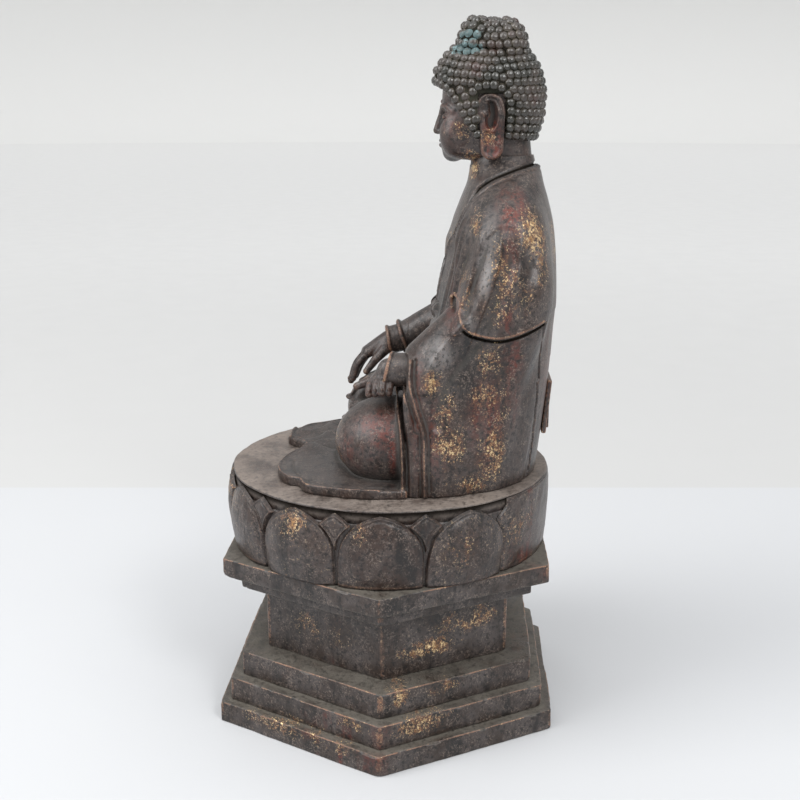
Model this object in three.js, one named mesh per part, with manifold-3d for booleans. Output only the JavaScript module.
// A seated Buddha of carved, lacquered and gilt wood, on a round lotus throne and a stepped
// six-sided pedestal. Millimetres, +Z up. The figure faces -Y, its left side is +X, and the
// origin is the centre of the pedestal's underside.
//
// It is joined wood. The pedestal is six boards threaded on a centre post, which stands proud of
// the top board as a tenon. The throne is a drum with a lipped seat board, two rows of petals and
// a plain panel behind, and lifts off that tenon. The figure is a trunk with the arms, sleeves
// and lap glued to its flat faces, a head on a neck tenon and hands pegged into the cuffs, and
// lifts off two seat dowels. A niche in the trunk's back is closed by a cover that pulls out.

import * as THREE from "three";
import { mergeVertices } from "three/addons/utils/BufferGeometryUtils.js";
import Module from "manifold-3d";

const wasm = await Module();
wasm.setup();

// ---- Driving dimensions -------------------------------------------------------------------

const BASE_RADIUS = 135; // centre to corner of the bottom step; the figure is in shares of it
const GAP = 0.3; // air left between glued faces
const BEHIND = 400; // longer than anything here, for cutting boxes

const STEPS = [
  { name: "plinth_base", radius: BASE_RADIUS, from: 0, to: 15 },
  { name: "plinth_middle", radius: 127, from: 15, to: 32 },
  { name: "plinth_upper", radius: 118, from: 32, to: 50 },
  { name: "waist_block", radius: 98, from: 50, to: 98 },
  { name: "cornice_lower", radius: 117, from: 98, to: 109 },
  { name: "cornice_slab", radius: 129.5, from: 109, to: 122 },
];
const POST = { width: 24, from: 8, tenon: 22 };

const THRONE = {
  from: 122,
  seat: 175.5, // height of the seat's top
  board: 9.5, // thickness of the seat board
  radius: 112,
  flare: 3, // how much narrower the drum is at its foot
  lip: 1.4,
  lipHeight: 2.5,
};
const PETALS = { tip: 172.2, shoulder: 143, edge: 1.6, bulge: 6, halfAngle: 15, eachSide: 4 };
const SMALL_PETALS = { tip: 172.4, root: 149, halfAngle: 7.5, edge: 0.8, bulge: 2.4 };

const DOWEL = { radius: 4, x: 24, y: 62, below: 8, above: 14 };
const NICHE = { halfWidth: 12, low: 203, high: 236, depth: 26 };
const COVER = { halfWidth: 15, height: 39, thickness: 3.6, plug: 7, tilt: 0.09, y: 110.4 };
const NECK_TENON = { radius: 10, length: 20 };
const APRON = 5; // thickness of the robe's hem on the seat
const GLUE_X = 0.27; // side face of the trunk, in shares of BASE_RADIUS
const SLEEVE_X = 0.36; // inner face of the hanging sleeve in front of the trunk
const GLUE_Y = 0.08; // front face of the trunk and the sleeves
const HEM_Z = 2.09; // the short cape over the arms ends here
const CAPE_TOP = 2.86;

const ROUND = 24; // sides of a round section
const COLOURS = {
  lacquer: { color: 0x3a2a26, roughness: 0.5, metalness: 0.05 },
  gilt: { color: 0x5a4024, roughness: 0.45, metalness: 0.3 },
  skin: { color: 0x4a322c, roughness: 0.45, metalness: 0.1 },
  hair: { color: 0x2c2927, roughness: 0.6, metalness: 0 },
  wood: { color: 0x6b4e35, roughness: 0.8, metalness: 0 },
};

const mm = (share) => share * BASE_RADIUS;

// ---- Solids -------------------------------------------------------------------------------

// A closed three.js geometry as a solid that can be joined and cut.
function solid(geometry) {
  const bare = new THREE.BufferGeometry();
  bare.setAttribute("position", geometry.getAttribute("position"));
  bare.setIndex(geometry.index);
  const merged = mergeVertices(bare, 1e-3);
  const corners = merged.index.array;
  const kept = [];
  for (let i = 0; i < corners.length; i += 3) {
    const [a, b, c] = corners.slice(i, i + 3);
    if (a !== b && b !== c && c !== a) kept.push(a, b, c);
  }
  const vertProperties = new Float32Array(merged.attributes.position.array);
  return new wasm.Manifold(
    new wasm.Mesh({ numProp: 3, vertProperties, triVerts: new Uint32Array(kept) }),
  );
}

function meshOf(name, made, look) {
  const { vertProperties, triVerts } = made.getMesh();
  const geometry = new THREE.BufferGeometry();
  geometry.setAttribute("position", new THREE.BufferAttribute(vertProperties, 3));
  geometry.setIndex(new THREE.BufferAttribute(triVerts, 1));
  geometry.computeVertexNormals();
  const mesh = new THREE.Mesh(geometry, new THREE.MeshStandardMaterial(COLOURS[look]));
  mesh.name = name;
  return mesh;
}

function box(low, high) {
  const size = high.map((h, i) => h - low[i]);
  const centre = high.map((h, i) => (h + low[i]) / 2);
  return solid(new THREE.BoxGeometry(...size).translate(...centre));
}

function cylinder(radius, x, y, low, high, sides = ROUND) {
  const made = new THREE.CylinderGeometry(radius, radius, high - low, sides);
  return solid(made.rotateX(Math.PI / 2).translate(x, y, (low + high) / 2));
}

// An ellipsoid from its centre and radii, in shares, with grow in millimetres added all round.
function egg(centre, radii, grow = 0, around = 16) {
  const made = new THREE.SphereGeometry(1, around, Math.round(around * 0.6));
  made.rotateX(Math.PI / 2).scale(...radii.map((r) => mm(r) + grow));
  return solid(made.translate(...centre.map(mm)));
}

// A round-ended rod between two points, in shares.
function rod(from, to, radius, sides = 6) {
  const start = new THREE.Vector3(...from.map(mm));
  const end = new THREE.Vector3(...to.map(mm));
  const along = end.clone().sub(start);
  const made = new THREE.CapsuleGeometry(mm(radius), along.length(), 2, sides);
  const turn = new THREE.Quaternion().setFromUnitVectors(
    new THREE.Vector3(0, 1, 0),
    along.clone().normalize(),
  );
  const middle = start.add(end).multiplyScalar(0.5);
  return solid(made.applyQuaternion(turn).translate(middle.x, middle.y, middle.z));
}

// A body through oval sections [z, half width, front y, back y], in shares, centred on x.
function loft(sections, { x = 0, grow = 0, sides = ROUND } = {}) {
  const positions = [];
  for (const [z, half, front, back] of sections) {
    for (let i = 0; i < sides; i++) {
      const turn = (2 * Math.PI * i) / sides;
      const across = mm(x) + Math.cos(turn) * (mm(half) + grow);
      const deep = mm((front + back) / 2) + Math.sin(turn) * (mm((back - front) / 2) + grow);
      positions.push(across, deep, mm(z));
    }
  }
  const [first, last] = [sections[0], sections[sections.length - 1]];
  for (const [z, , front, back] of [first, last]) {
    positions.push(mm(x), mm((front + back) / 2), mm(z));
  }
  const bottom = sections.length * sides;
  const top = bottom + 1;
  const lastRing = (sections.length - 1) * sides;
  const index = [];
  for (let i = 0; i < sides; i++) {
    const next = (i + 1) % sides;
    for (let ring = 0; ring < lastRing; ring += sides) {
      index.push(ring + i, ring + next, ring + sides + next);
      index.push(ring + i, ring + sides + next, ring + sides + i);
    }
    index.push(bottom, next, i, top, lastRing + i, lastRing + next);
  }
  const geometry = new THREE.BufferGeometry();
  geometry.setAttribute("position", new THREE.Float32BufferAttribute(positions, 3));
  return solid(geometry.setIndex(index));
}

// A closed shell between an inner and an outer surface over the same u (-1 to 1), v (0 to 1).
function shell(columns, rows, surface) {
  const positions = [];
  for (const outer of [false, true]) {
    for (let j = 0; j <= rows; j++) {
      for (let i = 0; i <= columns; i++) {
        positions.push(...surface((2 * i) / columns - 1, j / rows, outer));
      }
    }
  }
  const wide = columns + 1;
  const layer = wide * (rows + 1);
  const index = [];
  const quad = (a, b, c, d) => index.push(a, b, c, a, c, d);
  for (let j = 0; j < rows; j++) {
    for (let i = 0; i < columns; i++) {
      const a = j * wide + i;
      quad(layer + a, layer + a + 1, layer + a + wide + 1, layer + a + wide);
      quad(a, a + wide, a + wide + 1, a + 1);
    }
    const [left, right] = [j * wide, j * wide + columns];
    quad(left, layer + left, layer + left + wide, left + wide);
    quad(right, right + wide, layer + right + wide, layer + right);
  }
  for (let i = 0; i < columns; i++) {
    const top = rows * wide + i;
    quad(i, i + 1, layer + i + 1, layer + i);
    quad(top, layer + top, layer + top + 1, top + 1);
  }
  const geometry = new THREE.BufferGeometry();
  geometry.setAttribute("position", new THREE.Float32BufferAttribute(positions, 3));
  return solid(geometry.setIndex(index));
}

// A plate with its outline [y, z] in shares, crossing the whole width.
function sidePlate(outline) {
  const shape = new THREE.Shape(outline.map((point) => new THREE.Vector2(...point.map(mm))));
  const made = new THREE.ExtrudeGeometry(shape, { depth: 2 * BEHIND, bevelEnabled: false });
  made.translate(0, 0, -BEHIND);
  const axes = [[0, 1, 0], [0, 0, 1], [1, 0, 0]].map((axis) => new THREE.Vector3(...axis));
  return solid(made.applyMatrix4(new THREE.Matrix4().makeBasis(...axes)));
}

// ---- Pedestal -----------------------------------------------------------------------------

function pedestalStep({ name, radius, from, to }) {
  const made = new THREE.CylinderGeometry(radius, radius, to - from, 6);
  made.rotateX(Math.PI / 2).rotateZ(Math.PI / 2).translate(0, 0, (from + to) / 2);
  const hole = POST.width / 2 + GAP;
  const mortise = box([-hole, -hole, POST.from - GAP], [hole, hole, BEHIND]);
  return meshOf(name, solid(made).subtract(mortise), "lacquer");
}

function centrePost() {
  const half = POST.width / 2;
  const top = THRONE.from + POST.tenon;
  return meshOf("centre_post", box([-half, -half, POST.from], [half, half, top]), "wood");
}

// ---- Lotus throne -------------------------------------------------------------------------

const degrees = (angle) => (angle * Math.PI) / 180;
const FRONT = degrees(-90);
const PETAL_HALF = degrees(PETALS.halfAngle);
const SEAM = GAP / THRONE.radius; // half the joint between two petals, as an angle
const DRUM_SIDES = 48;

const share = (z) => (z - THRONE.from) / (THRONE.seat - THRONE.from);
const drumRadius = (z) => THRONE.radius - THRONE.flare * (1 - share(z)) ** 2;

const turned = (profile) => {
  const points = profile.map(([radius, z]) => new THREE.Vector2(radius, z));
  return solid(new THREE.LatheGeometry(points, DRUM_SIDES).rotateX(Math.PI / 2));
};

function lotusDrum() {
  const top = THRONE.seat - THRONE.board;
  const profile = [[0, THRONE.from]];
  for (let i = 0; i <= 4; i++) {
    const z = THRONE.from + ((top - THRONE.from) * i) / 4;
    profile.push([drumRadius(z), z]);
  }
  const made = turned([...profile, [0, top]]);
  const hole = POST.width / 2 + GAP;
  const end = THRONE.from + POST.tenon + 2;
  const mortise = box([-hole, -hole, THRONE.from - 1], [hole, hole, end]);
  return meshOf("lotus_drum", made.subtract(mortise), "lacquer");
}

// The seat's lip covers the petals' tips.
function seatBoard() {
  const low = THRONE.seat - THRONE.board;
  const lip = THRONE.seat - THRONE.lipHeight;
  const inner = THRONE.radius - 2 * GAP;
  const outer = THRONE.radius + THRONE.lip;
  const under = [[0, low], [inner, low], [inner, lip], [outer, lip]];
  let made = turned([...under, [outer, THRONE.seat], [0, THRONE.seat]]);
  for (const x of [-DOWEL.x, DOWEL.x]) {
    const hole = cylinder(DOWEL.radius + GAP, x, DOWEL.y, low - 1, THRONE.seat + 1, 12);
    made = made.subtract(hole);
  }
  return meshOf("seat_board", made, "lacquer");
}

// Half the angle that a big petal covers at height z: full width below the shoulder, then an arch.
function petalHalfAngle(z) {
  const rise = Math.max(0, z - PETALS.shoulder) / (PETALS.tip - PETALS.shoulder);
  return (PETAL_HALF - SEAM) * Math.max(0, 1 - rise ** 2.3) ** 0.6;
}

function petal({ tip, edge, bulge }, root, turn, halfAngle) {
  return shell(6, 6, (u, v, outer) => {
    const z = root + (tip - root) * v;
    const angle = turn + u * halfAngle(z);
    const swell = edge + bulge * Math.sqrt(1 - u * u) * Math.sin(Math.PI * (0.05 + 0.85 * v));
    const radius = drumRadius(z) + GAP + (outer ? swell : 0);
    return [radius * Math.cos(angle), radius * Math.sin(angle), z];
  });
}

// Petals are numbered from the one at the front: left_1 is the next towards the left side.
function petalName(kind, step) {
  if (step === 0) return `front_${kind}`;
  return `${step > 0 ? "left" : "right"}_${kind}_${Math.ceil(Math.abs(step))}`;
}

function bigPetal(step) {
  const made = petal(PETALS, THRONE.from, FRONT + 2 * PETAL_HALF * step, petalHalfAngle);
  return meshOf(petalName("petal", step), made, "gilt");
}

// A small petal shows between two big ones: it fills what their arches leave, up to its own arch.
function smallPetal(step) {
  const { root, tip, halfAngle } = SMALL_PETALS;
  const arch = (z) => Math.sqrt(Math.max(0, 1 - ((z - root) / (tip - root)) ** 3));
  const room = (z) => PETAL_HALF - petalHalfAngle(z) - 2 * SEAM;
  const width = (z) => Math.max(0, Math.min(room(z), arch(z) * degrees(halfAngle)));
  const made = petal(SMALL_PETALS, root, FRONT + 2 * PETAL_HALF * step, width);
  return meshOf(petalName("small_petal", step), made, "lacquer");
}

// The back of the drum has no petals: a plain curved panel brings it flush with the lip.
function backPanel() {
  const half = Math.PI - PETAL_HALF * (2 * PETALS.eachSide + 1) - SEAM;
  const top = THRONE.seat - THRONE.lipHeight - GAP;
  const made = shell(20, 2, (u, v, outer) => {
    const z = THRONE.from + (top - THRONE.from) * v;
    const radius = outer ? THRONE.radius + THRONE.lip : drumRadius(z) + GAP;
    const angle = u * half - FRONT;
    return [radius * Math.cos(angle), radius * Math.sin(angle), z];
  });
  return meshOf("back_panel", made, "lacquer");
}

// ---- The figure's mass, before it is cut into blocks ---------------------------------------

const SEAT = THRONE.seat / BASE_RADIUS;

const trunkMass = () =>
  loft([
    [SEAT, 0.5, -0.05, 0.765],
    [1.55, 0.52, 0, 0.8],
    [1.8, 0.52, 0.15, 0.825],
    [2, 0.52, 0.2, 0.84],
    [2.2, 0.52, 0.245, 0.845],
    [2.4, 0.5, 0.285, 0.84],
    [2.56, 0.47, 0.315, 0.83],
    [2.68, 0.4, 0.35, 0.81],
    [2.77, 0.29, 0.385, 0.785],
    [2.83, 0.2, 0.42, 0.765],
    [CAPE_TOP, 0.185, 0.43, 0.755],
  ]);

const robeMass = () =>
  loft([
    [SEAT, 0.64, -0.52, 0.765],
    [1.6, 0.635, -0.47, 0.8],
    [1.85, 0.625, -0.39, 0.825],
    [2, 0.61, -0.28, 0.84],
    [2.12, 0.58, -0.1, 0.845],
  ]);

const armMass = () =>
  loft(
    [
      [1.95, 0.16, 0.3, 0.78],
      [2.1, 0.17, 0.32, 0.8],
      [2.3, 0.155, 0.36, 0.81],
      [2.46, 0.13, 0.39, 0.8],
      [2.58, 0.09, 0.43, 0.76],
      [2.66, 0.04, 0.5, 0.7],
    ],
    { x: 0.42, sides: 20 },
  );

// The open space in front of the trunk and above the forearms.
const aboveForearms = () =>
  sidePlate([
    [-0.6, 1.93],
    [0.06, 1.93],
    [0.32, 2.27],
    [0.32, 3],
    [-0.6, 3],
  ]);

const neckSections = [
  [2.79, 0.15, 0.41, 0.73],
  [2.87, 0.14, 0.4, 0.715],
  [2.99, 0.14, 0.38, 0.7],
];
const neckY = mm(0.57);

function niche() {
  const { halfWidth, low, high, depth } = NICHE;
  return box([-halfWidth, COVER.y - depth, low], [halfWidth, BEHIND, high]);
}

// The cover's plate, leaning with the back. Its seat in the trunk is the same box, grown by GAP.
function coverPlate(grow, out) {
  const { halfWidth, height, thickness, tilt, y } = COVER;
  const deep = thickness + out + grow;
  const made = new THREE.BoxGeometry(2 * (halfWidth + grow), deep, height + 2 * grow);
  made.translate(0, deep / 2 - grow, 0).rotateX(-tilt);
  return solid(made.translate(0, y - 1.6, (NICHE.low + NICHE.high) / 2));
}

// ---- The figure's blocks ------------------------------------------------------------------

function trunkBlock() {
  const side = mm(GLUE_X) - GAP / 2;
  const front = mm(GLUE_Y) + GAP / 2;
  let made = trunkMass().intersect(box([-side, front, THRONE.seat], [side, BEHIND, BEHIND]));
  made = made.subtract(loft(neckSections, { grow: GAP }));
  const socket = mm(neckSections[0][0]) - NECK_TENON.length - GAP;
  made = made.subtract(cylinder(NECK_TENON.radius + GAP, 0, neckY, socket, mm(CAPE_TOP), 16));
  for (const x of [-DOWEL.x, DOWEL.x]) {
    const top = THRONE.seat + DOWEL.above + GAP;
    made = made.subtract(cylinder(DOWEL.radius + GAP, x, DOWEL.y, THRONE.seat - 1, top, 12));
  }
  made = made.subtract(niche()).subtract(coverPlate(GAP, mm(0.5)));
  return meshOf("trunk_block", made, "lacquer");
}

function nicheCover() {
  const { halfWidth, low, high } = NICHE;
  const slack = 2 * GAP;
  const face = COVER.y - 1;
  const plug = box(
    [slack - halfWidth, face - COVER.plug, low + slack],
    [halfWidth - slack, face, high - slack],
  );
  return meshOf("niche_cover", coverPlate(0, 0).add(plug), "lacquer");
}

function upperArm() {
  const low = [mm(GLUE_X) + GAP / 2, 0, mm(HEM_Z)];
  return trunkMass().add(armMass()).intersect(box(low, [BEHIND, BEHIND, BEHIND]));
}

function sleeveMass() {
  const front = mm(GLUE_Y) + GAP / 2;
  const top = mm(HEM_Z) - GAP;
  const outside = (x) => box([mm(x) + GAP / 2, front, THRONE.seat], [BEHIND, BEHIND, top]);
  const hanging = robeMass().add(armMass()).intersect(outside(SLEEVE_X));
  return hanging.add(trunkMass().intersect(outside(GLUE_X))).subtract(aboveForearms());
}

const CUFFS = {
  left: { elbow: [0.46, 0.42, 1.9], wrist: [0.42, 0.02, 1.885], radius: 0.083 },
  right: { elbow: [-0.47, 0.42, 1.96], wrist: [-0.43, -0.03, 1.86], radius: 0.078 },
};

// A point part of the way from one point to another.
const between = (from, to, part) => from.map((f, i) => f + (to[i] - f) * part);

// The inner sleeve comes out of the hanging sleeve and holds the hand's peg in its flat end.
function forearm({ elbow, wrist, radius }, grow = 0) {
  const end = mm(wrist[1]) - grow;
  const ahead = box([-BEHIND, -BEHIND, -BEHIND], [BEHIND, end, BEHIND]);
  return rod(elbow, wrist, radius + grow / BASE_RADIUS, 14).subtract(ahead);
}

function handPeg(side, grow) {
  const { elbow, wrist } = CUFFS[side];
  const radius = 0.035 + grow / BASE_RADIUS;
  return rod(between(wrist, elbow, 0.35), between(wrist, elbow, -0.1), radius, 10);
}

// The right hand's fingers point down over the shin; the left hand's hang over the knee's side.
const HANDS = {
  left: {
    palm: [0.42, -0.04, 1.86],
    knuckles: [0.44, -0.045, 1.84],
    tips: [0.51, -0.05, 1.785],
    thumb: [0.35, -0.13, 1.79],
    spread: [0, 0.03, 0],
  },
  right: {
    palm: [-0.425, -0.09, 1.83],
    knuckles: [-0.418, -0.148, 1.8],
    tips: [-0.412, -0.235, 1.64],
    thumb: [-0.33, -0.14, 1.72],
    spread: [0.03, 0, 0],
  },
};

// A palm in front of the cuff, four fingers and a thumb.
function handMass(side) {
  const { palm, knuckles, tips, thumb, spread } = HANDS[side];
  let made = rod(palm, CUFFS[side].wrist, 0.045, 10);
  for (const place of [-1.5, -0.5, 0.5, 1.5]) {
    const aside = (point) => point.map((p, i) => p + place * spread[i]);
    const end = between(knuckles, tips, 1 - 0.1 * Math.abs(place));
    made = made.add(rod(palm, aside(knuckles), 0.028));
    made = made.add(rod(aside(knuckles), aside(end), 0.021));
  }
  return made.add(rod(palm, thumb, 0.024));
}

function lapMass(grow = 0) {
  const knee = (x) => egg([x, -0.005, 1.52], [0.225, 0.265, 0.2], grow);
  const shins = egg([0, -0.03, 1.4], [0.42, 0.275, 0.2], grow);
  const thighs = egg([0, 0.06, 1.42], [0.52, 0.24, 0.2], grow);
  return knee(0.33).add(knee(-0.33)).add(shins).add(thighs);
}

function lapBlock() {
  const room = box([-BEHIND, -BEHIND, THRONE.seat], [BEHIND, mm(GLUE_Y) - GAP / 2, BEHIND]);
  return meshOf("lap_block", lapMass().intersect(room), "lacquer");
}

// The robe's hem spread on the seat in front of the legs, in two lobes with a pleat between.
function robeApron() {
  const outline = new THREE.Shape();
  const half = [
    [0.65, GLUE_Y - 0.005],
    [0.66, -0.1],
    [0.63, -0.25],
    [0.555, -0.39],
    [0.485, -0.425],
    [0.46, -0.49],
    [0.36, -0.55],
    [0.22, -0.565],
    [0.1, -0.545],
    [0.04, -0.5],
  ];
  outline.moveTo(mm(half[0][0]), mm(half[0][1]));
  for (const [x, y] of half.slice(1)) outline.lineTo(mm(x), mm(y));
  for (const [x, y] of [...half].reverse()) outline.lineTo(-mm(x), mm(y));
  outline.closePath();
  const made = new THREE.ExtrudeGeometry(outline, { depth: APRON, bevelEnabled: false });
  const plate = solid(made.translate(0, 0, THRONE.seat));
  return meshOf("robe_apron", plate.subtract(lapMass(1.5 * GAP)), "lacquer");
}

function seatDowel(name, x) {
  const [low, high] = [THRONE.seat - DOWEL.below, THRONE.seat + DOWEL.above];
  return meshOf(name, cylinder(DOWEL.radius, x, DOWEL.y, low, high, 12), "wood");
}

// ---- Head ---------------------------------------------------------------------------------

const HAIR_DEPTH = 0.042; // thickness of the curls, in shares
const HAIRLINE = { front: [0.2, 3.245], temple: [0.33, 3.16], sideburn: [0.415, 3.03], nape: 2.965 };
const TOPKNOT = { centre: [0, 0.505, 3.4], radii: [0.16, 0.172, 0.166] };

const headMass = (grow, sides) =>
  loft(
    [
      [2.865 - grow, 0.06, 0.34, 0.46],
      [2.885, 0.115, 0.295, 0.56],
      [2.95, 0.155, 0.265, 0.64],
      [3.05, 0.182, 0.256, 0.7],
      [3.15, 0.2, 0.256, 0.735],
      [3.25, 0.198, 0.268, 0.735],
      [3.33, 0.165, 0.31, 0.7],
      [3.385 + grow, 0.09, 0.39, 0.62],
    ],
    { grow: mm(grow), sides },
  );

function ear() {
  const made = new THREE.CapsuleGeometry(mm(0.06), mm(0.19), 3, 10).scale(0.42, 1, 1.1);
  return solid(made.rotateX(Math.PI / 2).translate(mm(0.205), mm(0.5), mm(3.04)));
}

const mirrored = (made) => {
  const { vertProperties, triVerts } = made.getMesh();
  const geometry = new THREE.BufferGeometry();
  geometry.setAttribute("position", new THREE.BufferAttribute(vertProperties.slice(), 3));
  geometry.setIndex(new THREE.BufferAttribute(triVerts.slice().reverse(), 1));
  return solid(geometry.scale(-1, 1, 1));
};

function headCore() {
  const nose = rod([0, 0.262, 3.13], [0, 0.242, 3.055], 0.02);
  const bottom = mm(neckSections[0][0]);
  const tenonLow = bottom - NECK_TENON.length;
  const tenon = cylinder(NECK_TENON.radius, 0, neckY, tenonLow, bottom + 5, 16);
  let made = headMass(0, 20).add(nose).add(loft(neckSections, { sides: 20 })).add(tenon);
  made = made.add(ear()).add(mirrored(ear()));
  return meshOf("head_core", made, "skin");
}

// The layer of paste curls over the scalp, open at the face, the ears and the nape.
function hairLayer() {
  const { front, temple, sideburn, nape } = HAIRLINE;
  const low = 2.8;
  const face = sidePlate([[0, low], [sideburn[0], low], sideburn, temple, front, [0, front[1]]]);
  const neck = sidePlate([[0, low], [1, low], [1, nape], [0, nape]]);
  const aroundEars = sidePlate([[0.41, low], [0.6, low], [0.6, 3.215], [0.41, 3.215]]);
  const inside = headMass(GAP / BASE_RADIUS, 20).add(loft(neckSections, { grow: GAP, sides: 20 }));
  const made = headMass(HAIR_DEPTH, 20).subtract(inside);
  return meshOf("hair_layer", made.subtract(face).subtract(neck).subtract(aroundEars), "hair");
}

function topknot() {
  const made = egg(TOPKNOT.centre, TOPKNOT.radii, 0, 16);
  return meshOf("topknot", made.subtract(headMass(HAIR_DEPTH + GAP / BASE_RADIUS, 20)), "hair");
}

// ---- Assembly -----------------------------------------------------------------------------

function armPieces(side) {
  const flip = (made) => (side === "left" ? made : mirrored(made));
  const cuff = forearm(CUFFS[side]);
  const sleeve = flip(sleeveMass());
  const widerCuff = forearm(CUFFS[side], GAP);
  const hand = handMass(side).subtract(lapMass(GAP)).subtract(widerCuff);
  return [
    meshOf(`${side}_upper_arm`, flip(upperArm()), "lacquer"),
    meshOf(`${side}_sleeve`, sleeve.subtract(widerCuff), "lacquer"),
    meshOf(`${side}_forearm`, cuff.subtract(handPeg(side, GAP)).subtract(lapMass(GAP)), "lacquer"),
    meshOf(`${side}_hand`, hand.add(handPeg(side, 0)), "skin"),
  ];
}

const statue = new THREE.Group();
statue.add(...STEPS.map(pedestalStep), centrePost());
statue.add(lotusDrum(), seatBoard(), backPanel());
for (let step = -PETALS.eachSide; step <= PETALS.eachSide; step++) {
  statue.add(bigPetal(step));
  if (step < PETALS.eachSide) statue.add(smallPetal(step + 0.5));
}
statue.add(seatDowel("left_seat_dowel", DOWEL.x), seatDowel("right_seat_dowel", -DOWEL.x));
statue.add(trunkBlock(), lapBlock(), robeApron(), nicheCover());
statue.add(...armPieces("left"), ...armPieces("right"));
statue.add(headCore(), hairLayer(), topknot());

export default statue;
